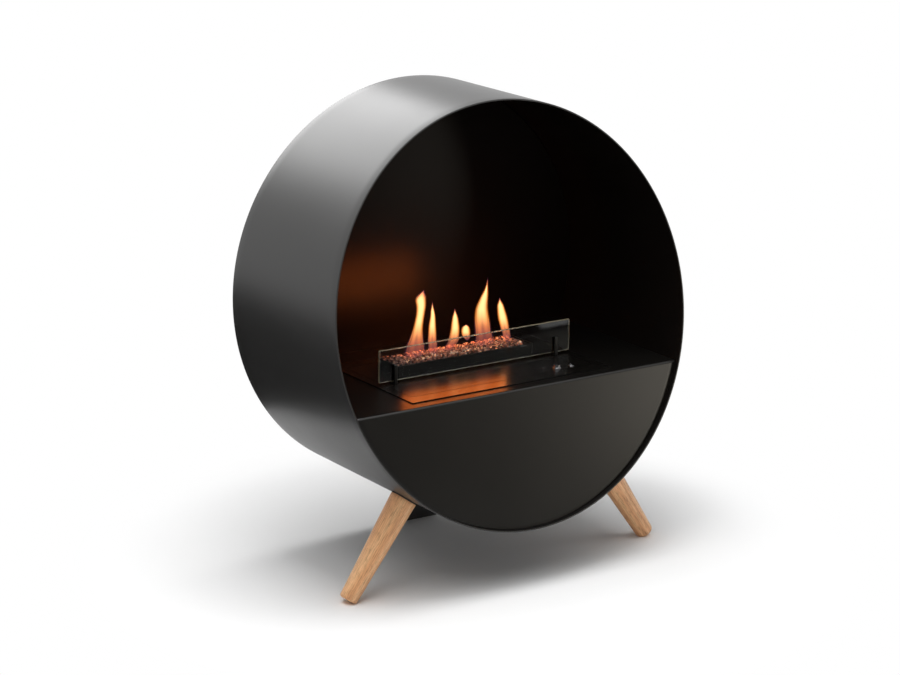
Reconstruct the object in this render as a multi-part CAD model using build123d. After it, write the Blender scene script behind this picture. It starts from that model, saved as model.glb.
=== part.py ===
from build123d import *
import math
import os
import random

# Free-standing drum fireplace for bioethanol. Millimetres, +Z up, floor at Z = 0,
# +X to the right seen from the front, +Y to the rear, origin under the middle of the footprint.

# ---- drum -------------------------------------------------------------------
DRUM_R = 350.0          # outside radius
WALL = 3.0              # rolled sheet
DRUM_BOTTOM = 100.0     # air under the drum
DEPTH = 400.0           # overall, along the bottom of the drum
LEAN = 0.2              # the open front leans back 0.2 mm for each mm of height
WELD_GAP = 0.3          # gap between a fitted sheet and the drum's inside
INNER_R = DRUM_R - WALL
PAN_R = INNER_R - WELD_GAP
AXIS_Z = DRUM_BOTTOM + DRUM_R
REAR_Y = DEPTH / 2      # rear edge, cut square
FRONT_Y = LEAN * DRUM_R - DEPTH / 2     # front edge at axis height
OVER = 50.0             # a cutting body stands out of its piece by this much

# ---- hearth -----------------------------------------------------------------
SHEET = 2.0             # panels, shelf and rails
DECK_DROP = 120.0       # the shelf's top lies this far below the axis
RECESS = 10.0           # the lower front panel sits this far behind the drum's rim
BACK_INSET = 10.0       # rear edge of the drum to the front face of the rear panel
BACK_FLANGE = 9.0
FOLD = 20.0             # sheet turned back under the shelf
FOLD_INSET = 35.0
DECK_FOLD = 16.0        # rear edge of the shelf, turned down
DECK_FOLD_INSET = 12.0
RAIL_W, RAIL_H, RAIL_INSET, RAIL_TRIM = 28.0, 28.0, 32.0, 0.5
TAB_ANGLES = (-52.0, 0.0, 52.0)
TAB_REACH, TAB_W, TAB_DEPTH = 29.0, 32.0, 24.0
DECK_Z = AXIS_Z - DECK_DROP
BACK_Y = REAR_Y - BACK_INSET
LAP_GAP = 0.2           # gap between sheets that lie on each other

# ---- burner insert ----------------------------------------------------------
PLATE_X, PLATE_DEEP, PLATE_T = 185.0, 200.0, 2.0
PLATE_SETBACK = 35.0    # behind the drum's front edge at axis height
PLATE_GAP = 1.5         # joint line between the plate and its frame
CORNER = 8.0
FRAME_T = 1.5
FRAME_SLACK = 0.4       # the frame drops into the shelf with this much play
FRAME_SIDE, FRAME_FRONT, FRAME_REAR = 17.0, 28.5, 28.0
LEDGE = 3.5             # the plate rests on this much of the frame
LIFT_GAP = 0.3          # gap between a piece that lifts off and its seat
PLATE_TOP = DECK_Z + FRAME_T + LAP_GAP  # the frame and the plate finish flush
TANK_IN, TANK_FRONT, TANK_REAR = 30.0, 4.0, 10.0
TANK_DEEP, TANK_T = 44.7, 1.5
TANK_RIM = 16.0         # folded inward round the top of the tank
PLATE_Y0 = FRONT_Y + PLATE_SETBACK
PLATE_Y1 = PLATE_Y0 + PLATE_DEEP
PLATE_UNDER = PLATE_TOP - PLATE_T
TANK_X, TANK_Y0, TANK_Y1 = PLATE_X - TANK_IN, PLATE_Y0 + TANK_FRONT, PLATE_Y1 - TANK_REAR
TANK_Z = PLATE_UNDER - TANK_DEEP

# ---- tray, wick and chips ---------------------------------------------------
TRAY_X, TRAY_DEEP, TRAY_H, TRAY_T = 140.0, 62.0, 17.3, 1.5
TRAY_BACK = 112.0       # front of the plate to the front of the tray
LIP, LIP_T = 3.0, 1.2
SLOT_IN, SLOT_Y = 20.0, 8.0
WICK_GAP_X, WICK_Y, WICK_SUNK, WICK_BEVEL = 3.0, 6.0, 0.2, 1.0
GRID_T, GRID_DROP, GRID_GAP = 1.2, 3.0, 0.5
GRID_SLOTS, GRID_SLOT_X, GRID_SLOT_Y, GRID_SLOT_OUT = 8, 12.0, 2.5, 19.0
TRAY_Y0 = PLATE_Y0 + TRAY_BACK
TRAY_Y1 = TRAY_Y0 + TRAY_DEEP
TRAY_TOP = PLATE_TOP + TRAY_H
GRID_TOP = TRAY_TOP - GRID_DROP
MID_Y = (TRAY_Y0 + TRAY_Y1) / 2
SLOT_X = TRAY_X - SLOT_IN
WICK_X = SLOT_X - WICK_GAP_X
CHIP_PITCH = 8.6
CHIP_JITTER = 1.1
CHIP_LOW, CHIP_HIGH = 6.5, 10.8         # crest of a chip above the grid
CHIP_AIR = 0.08                         # share of a chip that is left as air round it
CHIP_UP = 0.1                           # air between a chip and the grid

# ---- wind guard -------------------------------------------------------------
GLASS_X, GLASS_T, GLASS_H, GLASS_UP, GLASS_BEVEL = 195.0, 5.0, 55.0, 4.3, 0.6
GLASS_BACK = 82.9       # front of the plate to the middle of the glass
POST_X, POST_W, POST_H, PRONG, POST_ROUND = 165.0, 8.0, 32.3, 6.0, 2.6
GLASS_Y = PLATE_Y0 + GLASS_BACK
GLASS_Z = PLATE_TOP + GLASS_UP

# ---- filler -----------------------------------------------------------------
FILLER_IN, FILLER_FRONT = 65.5, 13.5
COLLAR_R, COLLAR_H, NECK_R, BORE_R, PLUG_R, CAP_R = 8.3, 1.7, 6.5, 5.3, 5.0, 6.6
NECK_DEEP, CAP_H, PLUG_H = 16.0, 3.0, 13.0
COIN_X, COIN_Y, COIN_DEEP = 4.5, 0.7, 1.2
HOLE_GAP = 0.3
FILLER_AT = (PLATE_X - FILLER_IN, PLATE_Y0 + FILLER_FRONT)

# ---- legs and rear foot -----------------------------------------------------
LEG_ANGLE = 34.8        # both front legs point at the drum's axis
LEG_INSET = 32.0        # behind the front edge at axis height
LEG_R_TOP, LEG_R_TIP = 23.0, 15.5
LEG_TRIM = 6.5          # the tip stops this far short of its axis meeting the floor
SEAT_T, SEAT_R = 2.0, 22.2              # rubber disc between drum and leg
SEAT_GAP = 0.1
BACKING_T, BACKING_HALF = 4.0, 34.0     # curved plate inside the drum
BOLT_R, BOLT_IN_LEG, BOLT_END, BOLT_GAP = 4.0, 45.0, 1.0, 0.4
BOLT_AF, BOLT_HEAD = 13.0, 5.3
FOOT_INSET, FOOT_T, FOOT_DEPTH = 15.0, 4.0, 15.0
FOOT_HALF_BOTTOM, FOOT_HALF_TOP = 60.0, 16.0
RIB_T, RIB_DROP, RIB_SUNK = 3.0, 30.0, 1.0
SADDLE_X, SADDLE_LENGTH, SADDLE_T = 42.0, 37.0, 3.0     # curved flange under the drum
PAD_T, PAD_INSET, PAD_BEVEL = 2.0, 1.0, 2.0
LEG_Y = FRONT_Y + LEG_INSET
LEG_END = AXIS_Z / math.cos(math.radians(LEG_ANGLE)) - LEG_TRIM
LEG_TOP = DRUM_R + SEAT_T + 2 * SEAT_GAP
FOOT_Y = REAR_Y - FOOT_INSET


def front_y(z, behind=0.0):
    """Y of the leaning front at height z, moved back by 'behind'."""
    return FRONT_Y + LEAN * (z - AXIS_Z) + behind


def block(x0, x1, y0, y1, z0, z1):
    return Pos((x0 + x1) / 2, (y0 + y1) / 2, (z0 + z1) / 2) * Box(x1 - x0, y1 - y0, z1 - z0)


def upright(x, y, r, z0, z1):
    return Pos(x, y, (z0 + z1) / 2) * Cylinder(r, z1 - z0)


def plate(x, y0, y1, z0, z1, r):
    sk = Pos(0, (y0 + y1) / 2, z0) * RectangleRounded(2 * x, y1 - y0, r)
    return extrude(sk, z1 - z0)


def ring(r_out, r_in, y0, y1):
    """Tube about the drum's axis; r_in = 0 gives a solid disc."""
    sk = Circle(r_out) if r_in == 0 else Circle(r_out) - Circle(r_in)
    return extrude(Plane.XZ.offset(-y0) * (Pos(0, AXIS_Z) * sk), -(y1 - y0))


def leaning_slab(behind0, behind1, z0, z1, half_x):
    """Slab parallel to the leaning front, between two distances behind it."""
    pts = [(front_y(z0, behind0), z0), (front_y(z0, behind1), z0),
           (front_y(z1, behind1), z1), (front_y(z1, behind0), z1)]
    return extrude(Plane.YZ * make_face(Polyline(*pts, close=True)), half_x, both=True)


def radial(angle, y):
    """Frame on the drum's axis whose +Z points out of the drum, angle from straight down."""
    return Location((0, y, AXIS_Z), (0, 180 - angle, 0))


def rod(angle, y, r, d0, d1):
    """Round bar on a radius of the drum, between two distances from the axis."""
    return radial(angle, y) * Pos(0, 0, (d0 + d1) / 2) * Cylinder(r, d1 - d0)


def radial_block(angle, y0, y1, half_x, d0, d1):
    box = Pos(0, 0, (d0 + d1) / 2) * Box(2 * half_x, y1 - y0, d1 - d0)
    return radial(angle, (y0 + y1) / 2) * box


def chord(drop):
    """Half the width inside the drum at a distance below its axis."""
    return math.sqrt(PAN_R ** 2 - drop ** 2)


# ---- drum -------------------------------------------------------------------
def drum_shell():
    shell = ring(DRUM_R, INNER_R, front_y(DRUM_BOTTOM) - OVER, REAR_Y)
    shell -= leaning_slab(-DRUM_R, 0, DRUM_BOTTOM - OVER, AXIS_Z + DRUM_R + OVER, DRUM_R + OVER)
    for side in (-1, 1):
        shell -= rod(side * LEG_ANGLE, LEG_Y, BOLT_R + BOLT_GAP, INNER_R - OVER, DRUM_R + OVER)
    return shell


def rear_panel():
    pan = ring(PAN_R, 0, BACK_Y, BACK_Y + BACK_FLANGE)
    return pan - ring(PAN_R - SHEET, 0, BACK_Y + SHEET, BACK_Y + BACK_FLANGE + OVER)


def front_panel():
    top = DECK_Z - SHEET - LAP_GAP
    disc = ring(PAN_R, 0, front_y(DRUM_BOTTOM), front_y(DECK_Z) + OVER)
    panel = disc & leaning_slab(RECESS, RECESS + SHEET, DRUM_BOTTOM - OVER, top, DRUM_R)
    half = chord(AXIS_Z - top) - FOLD_INSET
    return panel + leaning_slab(RECESS, RECESS + SHEET + FOLD, top - SHEET, top, half)


def panel_tabs():
    """Three angles that carry the lower front panel: one leg on the panel, one on the drum."""
    tabs = []
    y0 = front_y(DRUM_BOTTOM)
    y1 = front_y(DECK_Z) + OVER
    for angle in TAB_ANGLES:
        window = radial_block(angle, y0, y1, TAB_W / 2, PAN_R - TAB_REACH - OVER, DRUM_R)
        face = leaning_slab(RECESS + SHEET, RECESS + 2 * SHEET, DRUM_BOTTOM - OVER, AXIS_Z, DRUM_R)
        face &= ring(PAN_R, PAN_R - TAB_REACH, y0, y1)
        foot = leaning_slab(RECESS + SHEET, RECESS + SHEET + TAB_DEPTH, DRUM_BOTTOM - OVER, AXIS_Z, DRUM_R)
        foot &= ring(PAN_R, PAN_R - SHEET, y0, y1)
        tabs.append((face + foot) & window)
    return tabs


def deck_plate():
    half = chord(AXIS_Z - DECK_Z + SHEET)
    back = BACK_Y - LAP_GAP
    deck = block(-half, half, front_y(DECK_Z, RECESS), back, DECK_Z - SHEET, DECK_Z)
    deck += block(-half + DECK_FOLD_INSET, half - DECK_FOLD_INSET, back - SHEET, back,
                  DECK_Z - DECK_FOLD, DECK_Z)
    return deck - around_plate(PLATE_GAP + FRAME_T + FRAME_SLACK, DECK_Z - OVER, DECK_Z + OVER)


def deck_rail(side):
    """Angle along the drum's inside that carries the edge of the shelf."""
    top = DECK_Z - SHEET - LAP_GAP
    reach = chord(AXIS_Z - top)
    y0, y1 = front_y(DECK_Z, RECESS + RAIL_INSET), BACK_Y - BACK_INSET
    rail = block(reach - RAIL_W, reach - RAIL_TRIM, y0, y1, top - SHEET, top)
    rail += ring(PAN_R, PAN_R - SHEET, y0, y1) & block(reach - 2 * RAIL_W, DRUM_R, y0, y1, top - RAIL_H, top)
    return rail if side > 0 else mirror(rail, about=Plane.YZ)


# ---- burner insert ----------------------------------------------------------
def around_plate(gap, z0, z1):
    """Block with the burner plate's outline, larger by 'gap' on every side."""
    return plate(PLATE_X + gap, PLATE_Y0 - gap, PLATE_Y1 + gap, z0, z1, CORNER + gap)


def insert_frame():
    gap, skirt = PLATE_GAP, PLATE_GAP + FRAME_T
    hole = around_plate(gap, PLATE_TOP - OVER, PLATE_TOP + OVER)
    x, y0, y1 = PLATE_X + FRAME_SIDE, PLATE_Y0 - FRAME_FRONT, PLATE_Y1 + FRAME_REAR
    top = block(-x, x, y0, y1, PLATE_TOP - FRAME_T, PLATE_TOP)
    shelf = PLATE_UNDER - LIFT_GAP
    wall = around_plate(skirt, shelf - FRAME_T, PLATE_TOP)
    ledge = around_plate(skirt, shelf - FRAME_T, shelf)
    ledge -= block(-PLATE_X + LEDGE, PLATE_X - LEDGE, PLATE_Y0 + LEDGE, PLATE_Y1 - LEDGE,
                   shelf - OVER, shelf + OVER)
    return (top + wall - hole) + ledge


def insert_plate():
    body = around_plate(0, PLATE_UNDER, PLATE_TOP)
    body -= block(-SLOT_X, SLOT_X, MID_Y - SLOT_Y, MID_Y + SLOT_Y, PLATE_TOP - OVER, PLATE_TOP + OVER)
    return body - upright(*FILLER_AT, NECK_R + HOLE_GAP, PLATE_TOP - OVER, PLATE_TOP + OVER)


def fuel_tank():
    t, rim = TANK_T, TANK_RIM
    tank = block(-TANK_X, TANK_X, TANK_Y0, TANK_Y1, TANK_Z, PLATE_UNDER)
    tank -= block(-TANK_X + t, TANK_X - t, TANK_Y0 + t, TANK_Y1 - t, TANK_Z + t, PLATE_UNDER - t)
    tank -= block(-TANK_X + rim, TANK_X - rim, TANK_Y0 + rim, TANK_Y1 - rim, PLATE_UNDER - 2 * t, PLATE_TOP)
    return tank - upright(*FILLER_AT, NECK_R + HOLE_GAP, TANK_Z + t, PLATE_TOP)


def burner_tray():
    z0, t = PLATE_TOP, TRAY_T
    tray = block(-TRAY_X, TRAY_X, TRAY_Y0, TRAY_Y1, z0, TRAY_TOP)
    tray -= block(-TRAY_X + t, TRAY_X - t, TRAY_Y0 + t, TRAY_Y1 - t, z0 + t, TRAY_TOP - LIP_T)
    tray -= block(-TRAY_X + LIP, TRAY_X - LIP, TRAY_Y0 + LIP, TRAY_Y1 - LIP,
                  TRAY_TOP - 2 * LIP_T, TRAY_TOP + OVER)
    return tray - block(-SLOT_X, SLOT_X, MID_Y - SLOT_Y, MID_Y + SLOT_Y, z0 - OVER, z0 + 2 * t)


def tray_grid():
    """Slotted bridge that holds the chips above the tray's floor and lets the wick stand through."""
    x, y0, y1 = TRAY_X - LIP - GRID_GAP, TRAY_Y0 + LIP + GRID_GAP, TRAY_Y1 - LIP - GRID_GAP
    z0, under = PLATE_TOP + TRAY_T, GRID_TOP - GRID_T
    grid = block(-x, x, y0, y1, z0, GRID_TOP)
    grid -= block(-x - OVER, x + OVER, y0 + GRID_T, y1 - GRID_T, z0 - OVER, under)
    wick_x, wick_y = WICK_X + GRID_GAP, WICK_Y + GRID_GAP
    grid -= block(-wick_x, wick_x, MID_Y - wick_y, MID_Y + wick_y, z0, GRID_TOP + OVER)
    pitch = 2 * x / GRID_SLOTS
    for i in range(GRID_SLOTS):
        for y in (MID_Y - GRID_SLOT_OUT, MID_Y + GRID_SLOT_OUT):
            cx = (i - (GRID_SLOTS - 1) / 2) * pitch
            grid -= block(cx - GRID_SLOT_X, cx + GRID_SLOT_X, y - GRID_SLOT_Y, y + GRID_SLOT_Y,
                          z0, GRID_TOP + OVER)
    return grid


def ceramic_wick():
    wick = block(-WICK_X, WICK_X, MID_Y - WICK_Y, MID_Y + WICK_Y, TANK_Z + TANK_T, GRID_TOP - WICK_SUNK)
    return chamfer(wick.edges().group_by(Axis.Z)[-1], WICK_BEVEL)


def chip(base, crest):
    """Broken stone: four corners on the grid and a sloping crest between two points above them."""
    a, b, c, d = base
    e, f = crest
    sides = [(a, b, c), (a, c, d), (a, b, e), (b, f, e), (b, c, f), (c, d, f), (d, e, f), (d, a, e)]
    return Solid(Shell([Face(Wire.make_polygon(tri, close=True)) for tri in sides]))


def stones():
    """Chips side by side on the grid, cut from a shaken lattice so that they fill the tray."""
    rng = random.Random(7)
    half_x, half_y = TRAY_X - LIP - CHIP_JITTER, (TRAY_Y1 - TRAY_Y0) / 2 - LIP - CHIP_JITTER
    nx, ny = int(2 * half_x / CHIP_PITCH), int(2 * half_y / CHIP_PITCH)
    nodes = {}
    for i in range(nx + 1):
        for j in range(ny + 1):
            x = (2 * i / nx - 1) * half_x + rng.uniform(-CHIP_JITTER, CHIP_JITTER)
            y = MID_Y + (2 * j / ny - 1) * half_y + rng.uniform(-CHIP_JITTER, CHIP_JITTER)
            nodes[i, j] = Vector(x, y, GRID_TOP + CHIP_UP)
    out = []
    for i in range(nx):
        for j in range(ny):
            corners = [nodes[i, j], nodes[i + 1, j], nodes[i + 1, j + 1], nodes[i, j + 1]]
            mid = (corners[0] + corners[1] + corners[2] + corners[3]) * 0.25
            base = [p + (mid - p) * CHIP_AIR for p in corners]
            first = rng.randrange(4)
            base = base[first:] + base[:first]
            crest = []
            for p, q in ((base[0], base[1]), (base[2], base[3])):
                edge = (p + q) * 0.5
                up = Vector(0, 0, rng.uniform(CHIP_LOW, CHIP_HIGH))
                crest.append(edge + (mid - edge) * rng.uniform(0.35, 0.7) + up)
            out.append(chip([base[0], base[1], base[2], base[3]], crest))
    return out


# ---- wind guard -------------------------------------------------------------
def glass_panel():
    pane = block(-GLASS_X, GLASS_X, GLASS_Y - GLASS_T / 2, GLASS_Y + GLASS_T / 2, GLASS_Z, GLASS_Z + GLASS_H)
    return chamfer(pane.edges(), GLASS_BEVEL)


def glass_post(side):
    """Slotted post welded to the plate: the glass drops between its two prongs."""
    x, half, top = side * POST_X, GLASS_T / 2 + LIFT_GAP, PLATE_TOP + POST_H
    out = half + PRONG
    post = block(x - POST_W / 2, x + POST_W / 2, GLASS_Y - out, GLASS_Y + out, PLATE_TOP, top)
    post = fillet(post.edges().filter_by(Axis.Z), POST_ROUND)
    slot = block(x - POST_W, x + POST_W, GLASS_Y - half, GLASS_Y + half, GLASS_Z - LIFT_GAP, top + OVER)
    return post - slot


# ---- filler -----------------------------------------------------------------
def filler_collar():
    collar = upright(*FILLER_AT, COLLAR_R, PLATE_TOP, PLATE_TOP + COLLAR_H)
    collar += upright(*FILLER_AT, NECK_R, PLATE_TOP - NECK_DEEP, PLATE_TOP + COLLAR_H / 2)
    return collar - upright(*FILLER_AT, BORE_R, PLATE_TOP - OVER, PLATE_TOP + OVER)


def filler_cap():
    x, y = FILLER_AT
    z = PLATE_TOP + COLLAR_H + LIFT_GAP
    top = z + CAP_H
    head = upright(x, y, CAP_R, z, top)
    head -= block(x - COIN_X, x + COIN_X, y - COIN_Y, y + COIN_Y, top - COIN_DEEP, top + OVER)
    return head + upright(x, y, PLUG_R, z - PLUG_H, z + CAP_H / 4)


# ---- legs -------------------------------------------------------------------
def leg(side):
    """Tapered leg, scribed to the drum at the top and cut flat where its edge meets the floor."""
    slope = (LEG_R_TOP - LEG_R_TIP) / (LEG_END - DRUM_R)
    start = DRUM_R - LEG_R_TOP
    pts = [(0, start), (LEG_R_TOP + LEG_R_TOP * slope, start), (LEG_R_TIP, LEG_END), (0, LEG_END)]
    wood = radial(side * LEG_ANGLE, LEG_Y) * revolve(Plane.XZ * make_face(Polyline(*pts, close=True)), Axis.Z)
    y0, y1 = LEG_Y - LEG_R_TOP - OVER, LEG_Y + LEG_R_TOP + OVER
    wood -= ring(LEG_TOP, 0, y0, y1)
    wood -= block(-2 * LEG_END, 2 * LEG_END, y0, y1, -OVER, 0)
    return wood - rod(side * LEG_ANGLE, LEG_Y, BOLT_R + SEAT_GAP, DRUM_R, LEG_TOP + BOLT_IN_LEG + BOLT_END)


def leg_seat(side):
    pad = rod(side * LEG_ANGLE, LEG_Y, SEAT_R, INNER_R - OVER, DRUM_R + OVER)
    pad &= ring(DRUM_R + SEAT_GAP + SEAT_T, DRUM_R + SEAT_GAP, LEG_Y - OVER, LEG_Y + OVER)
    return pad - rod(side * LEG_ANGLE, LEG_Y, BOLT_R + BOLT_GAP, INNER_R - OVER, DRUM_R + OVER)


def leg_backing(side):
    outer = INNER_R - SEAT_GAP
    y0, y1 = LEG_Y - BACKING_HALF, LEG_Y + BACKING_HALF
    pad = radial_block(side * LEG_ANGLE, y0, y1, BACKING_HALF, INNER_R - OVER, INNER_R)
    pad &= ring(outer, outer - BACKING_T, y0, y1)
    return pad - rod(side * LEG_ANGLE, LEG_Y, BOLT_R + BOLT_GAP, INNER_R - OVER, DRUM_R)


def leg_bolts():
    """Hexagon bolts put in from inside the drum, through the backing plate and up the leg."""
    bolts = []
    for side in (-1, 1):
        seat = math.sqrt((INNER_R - SEAT_GAP - BACKING_T) ** 2 - (BOLT_AF / 2) ** 2) - SEAT_GAP
        head = extrude(RegularPolygon(BOLT_AF / 2, 6, major_radius=False), BOLT_HEAD)
        head = radial(side * LEG_ANGLE, LEG_Y) * Pos(0, 0, seat - BOLT_HEAD) * head
        bolts.append(head + rod(side * LEG_ANGLE, LEG_Y, BOLT_R, seat - BOLT_HEAD / 2, LEG_TOP + BOLT_IN_LEG))
    return bolts


# ---- rear foot --------------------------------------------------------------
def rear_foot():
    """Tapered steel foot: upright web, sole on the rubber strip, rib, and a saddle under the drum."""
    z0, top = PAD_T, DRUM_BOTTOM + FOOT_T
    pts = [(-FOOT_HALF_BOTTOM, z0), (FOOT_HALF_BOTTOM, z0), (FOOT_HALF_TOP, top), (-FOOT_HALF_TOP, top)]
    web = extrude(Plane.XZ.offset(-FOOT_Y) * make_face(Polyline(*pts, close=True)), -FOOT_T)
    sole = block(-FOOT_HALF_BOTTOM, FOOT_HALF_BOTTOM, FOOT_Y, FOOT_Y + FOOT_DEPTH, z0, z0 + FOOT_T)
    inside, rib_top = FOOT_Y + FOOT_T / 2, DRUM_BOTTOM - RIB_DROP
    rib_pts = [(inside, z0 + RIB_SUNK), (FOOT_Y + FOOT_DEPTH, z0 + RIB_SUNK),
               (FOOT_Y + FOOT_T, rib_top), (inside, rib_top)]
    rib = extrude(Plane.YZ * make_face(Polyline(*rib_pts, close=True)), RIB_T / 2, both=True)
    under = DRUM_R + SEAT_GAP
    y1 = FOOT_Y + FOOT_T
    saddle = ring(under + SADDLE_T, under, y1 - SADDLE_LENGTH, y1)
    saddle &= block(-SADDLE_X, SADDLE_X, y1 - SADDLE_LENGTH, y1, DRUM_BOTTOM - OVER, DRUM_BOTTOM + OVER)
    return (web + sole + rib) - ring(under, 0, FOOT_Y - OVER, FOOT_Y + OVER) + saddle


def rear_foot_pad():
    half = FOOT_HALF_BOTTOM - PAD_INSET
    pad = block(-half, half, FOOT_Y + PAD_INSET, FOOT_Y + FOOT_DEPTH - PAD_INSET, 0, PAD_T)
    return chamfer(pad.edges().filter_by(Axis.Z), PAD_BEVEL)


NODES = {
    "drum_shell": drum_shell,
    "rear_panel": rear_panel,
    "front_panel": front_panel,
    "panel_tabs": panel_tabs,
    "deck_plate": deck_plate,
    "deck_rail_left": lambda: deck_rail(-1),
    "deck_rail_right": lambda: deck_rail(1),
    "insert_frame": insert_frame,
    "insert_plate": insert_plate,
    "fuel_tank": fuel_tank,
    "burner_tray": burner_tray,
    "tray_grid": tray_grid,
    "ceramic_wick": ceramic_wick,
    "stones": stones,
    "glass_panel": glass_panel,
    "glass_post_left": lambda: glass_post(-1),
    "glass_post_right": lambda: glass_post(1),
    "filler_collar": filler_collar,
    "filler_cap": filler_cap,
    "leg_left": lambda: leg(-1),
    "leg_right": lambda: leg(1),
    "leg_seat_left": lambda: leg_seat(-1),
    "leg_seat_right": lambda: leg_seat(1),
    "leg_backing_left": lambda: leg_backing(-1),
    "leg_backing_right": lambda: leg_backing(1),
    "leg_bolts": leg_bolts,
    "rear_foot": rear_foot,
    "rear_foot_pad": rear_foot_pad,
}

os.makedirs("parts", exist_ok=True)
for name, make in NODES.items():
    shape = make()
    if isinstance(shape, list):
        shape = Compound(children=[s.solid() for s in shape])
    shape.label = name
    export_step(shape, f"parts/{name}.step")
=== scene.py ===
import math
import random

import bmesh
import bpy
from mathutils import Matrix, Vector


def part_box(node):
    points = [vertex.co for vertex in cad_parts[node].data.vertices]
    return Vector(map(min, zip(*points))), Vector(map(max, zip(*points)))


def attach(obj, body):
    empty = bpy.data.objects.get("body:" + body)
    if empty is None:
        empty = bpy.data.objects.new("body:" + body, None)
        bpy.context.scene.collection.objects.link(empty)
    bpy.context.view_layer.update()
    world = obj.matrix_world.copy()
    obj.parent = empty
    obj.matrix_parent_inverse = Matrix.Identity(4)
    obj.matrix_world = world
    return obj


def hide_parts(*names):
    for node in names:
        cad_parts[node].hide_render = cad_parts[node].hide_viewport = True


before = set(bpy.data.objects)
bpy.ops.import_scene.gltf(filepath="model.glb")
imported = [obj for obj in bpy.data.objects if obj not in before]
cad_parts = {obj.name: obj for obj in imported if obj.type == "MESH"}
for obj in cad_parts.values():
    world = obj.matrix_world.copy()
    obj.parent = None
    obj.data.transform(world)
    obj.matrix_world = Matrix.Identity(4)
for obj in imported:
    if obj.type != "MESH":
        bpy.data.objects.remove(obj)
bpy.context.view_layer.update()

# ---- the object, in metres, in the frame of the solids ----------------------
DRUM_R, WALL = 0.350, 0.003
INNER_R = DRUM_R - WALL
AXIS_Z, REAR_Y = 0.450, 0.200
# the open front crosses the axis's height at FRONT_Y and leans back by LEAN for each metre of height
FRONT_Y, LEAN = -0.130, 0.2
# the lower front sheet lies RECESS behind the rim
RECESS, SHEET = 0.010, 0.002
# the sheets inside the drum reach a hair into its wall, so that no light comes through the seams
PAN_R = INNER_R + 0.0003
PLATE_LO, PLATE_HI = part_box("insert_plate")
PLATE_TOP = PLATE_HI.z
TRAY_LO, TRAY_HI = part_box("burner_tray")
GLASS_LO, GLASS_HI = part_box("glass_panel")
GRID_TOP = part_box("tray_grid")[1].z
# the legs are set radially; LEG_TOP and LEG_END are distances from the drum's axis
LEG_ANGLE, LEG_Y = math.radians(34.8), -0.098
LEG_R_TOP, LEG_R_TIP = 0.023, 0.0155
LEG_TOP, LEG_END, LEG_ROUND = 0.3522, 0.5415, 0.005

# ---- camera: place in metres, turns in degrees, lens in millimetres ---------
CAMERA_AT = (-2.4413, -3.4881, 1.5654)
CAMERA_YAW, CAMERA_PITCH, CAMERA_ROLL = 34.486, 15.529, 0.736
CAMERA_LENS, CAMERA_SENSOR = 104.50, 36.0


def link(name, data):
    """New object in the scene."""
    thing = bpy.data.objects.new(name, data)
    bpy.context.scene.collection.objects.link(thing)
    return thing


def add_camera():
    yaw, pitch, roll = (math.radians(v) for v in (CAMERA_YAW, CAMERA_PITCH, CAMERA_ROLL))
    ahead = Vector((math.sin(yaw) * math.cos(pitch), math.cos(yaw) * math.cos(pitch), -math.sin(pitch)))
    level = Vector((math.cos(yaw), -math.sin(yaw), 0))
    above = level.cross(ahead)
    right = math.cos(roll) * level + math.sin(roll) * above
    up = -math.sin(roll) * level + math.cos(roll) * above
    data = bpy.data.cameras.new("camera")
    data.lens, data.sensor_width = CAMERA_LENS, CAMERA_SENSOR
    data.clip_start, data.clip_end = 0.1, 200.0
    cam = link("camera", data)
    cam.matrix_world = Matrix.Translation(CAMERA_AT) @ Matrix((right, up, -ahead)).transposed().to_4x4()
    bpy.context.scene.camera = cam


# ---- node helpers -----------------------------------------------------------
def new_material(name):
    mat = bpy.data.materials.new(name)
    mat.use_nodes = True
    tree = mat.node_tree
    tree.nodes.clear()
    out = tree.nodes.new("ShaderNodeOutputMaterial")
    return mat, tree, out


def add(tree, kind, **values):
    """New node: a value is set on the input socket of that name, or on the node itself."""
    node = tree.nodes.new(kind)
    for key, value in values.items():
        label = key.replace("_", " ")
        if label in node.inputs:
            node.inputs[label].default_value = value
        else:
            setattr(node, key, value)
    return node


def wire(tree, *pairs):
    for a, b in pairs:
        tree.links.new(a, b)


def principled(tree, out, **values):
    shader = tree.nodes.new("ShaderNodeBsdfPrincipled")
    for key, value in values.items():
        shader.inputs[key.replace("_", " ")].default_value = value
    wire(tree, (shader.outputs[0], out.inputs["Surface"]))
    return shader


def plain_surface(name, kind, **values):
    """Material made of a single shader node."""
    mat, tree, out = new_material(name)
    wire(tree, (add(tree, kind, **values).outputs[0], out.inputs["Surface"]))
    return mat


def ramp(tree, source, stops):
    node = tree.nodes.new("ShaderNodeValToRGB")
    points = node.color_ramp.elements
    while len(points) < len(stops):
        points.new(0.5)
    for point, (at, color) in zip(points, stops):
        point.position = at
        point.color = (*color, 1.0)
    wire(tree, (source, node.inputs[0]))
    return node.outputs[0]


def grey(v):
    return (v, v, v)


def scaled(color, by):
    return tuple(c * by for c in color)


def remap(tree, source, low, high):
    """Takes a 0 to 1 value to the range low to high."""
    node = add(tree, "ShaderNodeMapRange", To_Min=low, To_Max=high)
    wire(tree, (source, node.inputs["Value"]))
    return node.outputs[0]


def product(tree, a, b):
    node = add(tree, "ShaderNodeMath", operation="MULTIPLY")
    wire(tree, (a, node.inputs[0]), (b, node.inputs[1]))
    return node.outputs[0]


def multiply_colors(tree, a, b):
    """Two colours multiplied; inputs 6 and 7 and output 2 of the node are its colours."""
    node = add(tree, "ShaderNodeMix", data_type="RGBA", blend_type="MULTIPLY")
    node.inputs["Factor"].default_value = 1.0
    wire(tree, (a, node.inputs[6]), (b, node.inputs[7]))
    return node.outputs[2]


def attribute(tree, name):
    return add(tree, "ShaderNodeAttribute", attribute_name=name).outputs["Fac"]


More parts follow.
